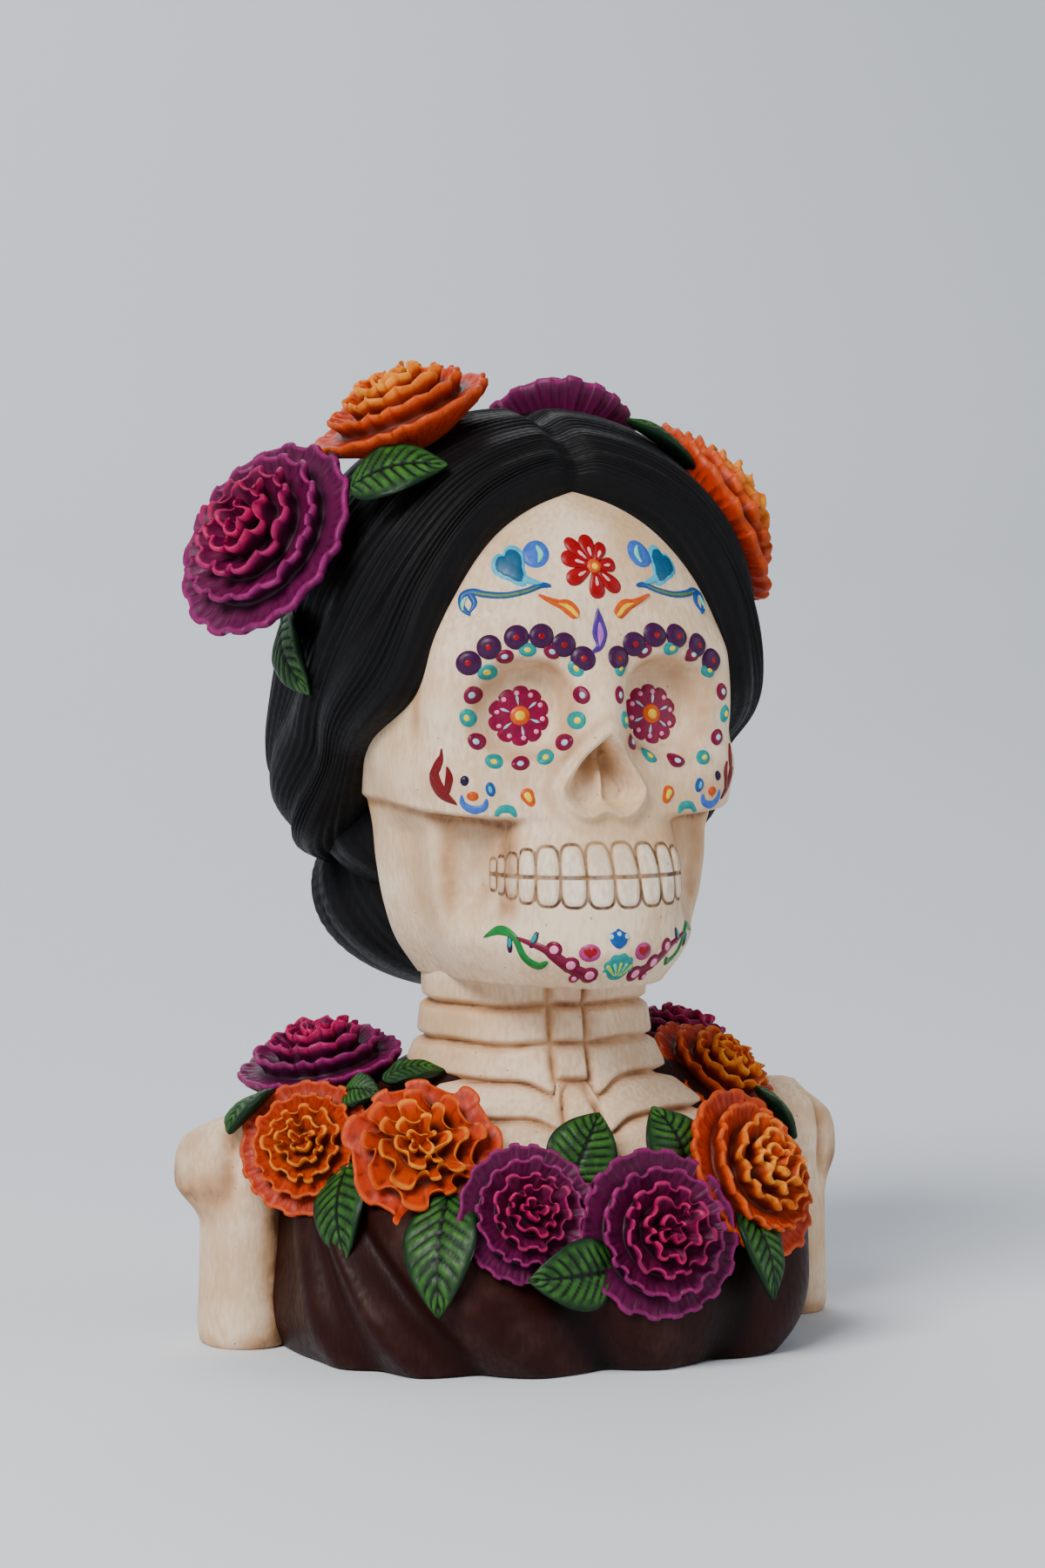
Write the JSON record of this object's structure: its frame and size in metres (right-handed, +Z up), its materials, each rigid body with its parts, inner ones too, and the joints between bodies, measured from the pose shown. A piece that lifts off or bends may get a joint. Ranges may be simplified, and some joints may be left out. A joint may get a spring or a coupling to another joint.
{
  "type": "catrina bust",
  "caption": "Painted ceramic catrina bust: carved skull face, parted black hair with a low bun, flowers and leaves on hair and shoulders, bare upper arm bones and a draped dress.",
  "frame": {"origin": "on the plane that the bust stands on, straight below the middle of the neck", "axes": "+Z up; the face looks along -Y; +X towards the right of somebody who looks at the face"},
  "size_m": [0.1734, 0.1508, 0.2389],
  "materials": {
    "bone": "satin cream paint with a brown wash in the recesses",
    "hair": "matt black paint",
    "dress": "satin dark brown paint",
    "orange_flower": "satin orange paint with yellow petal edges",
    "purple_flower": "satin purple paint with pink petal edges",
    "leaf": "satin dark green paint with light green veins",
    "ornament": "thick satin paint in several colours"
  },
  "bodies": {
    "root": {"catrina_bust": "bone"}
  },
  "joints": []
}
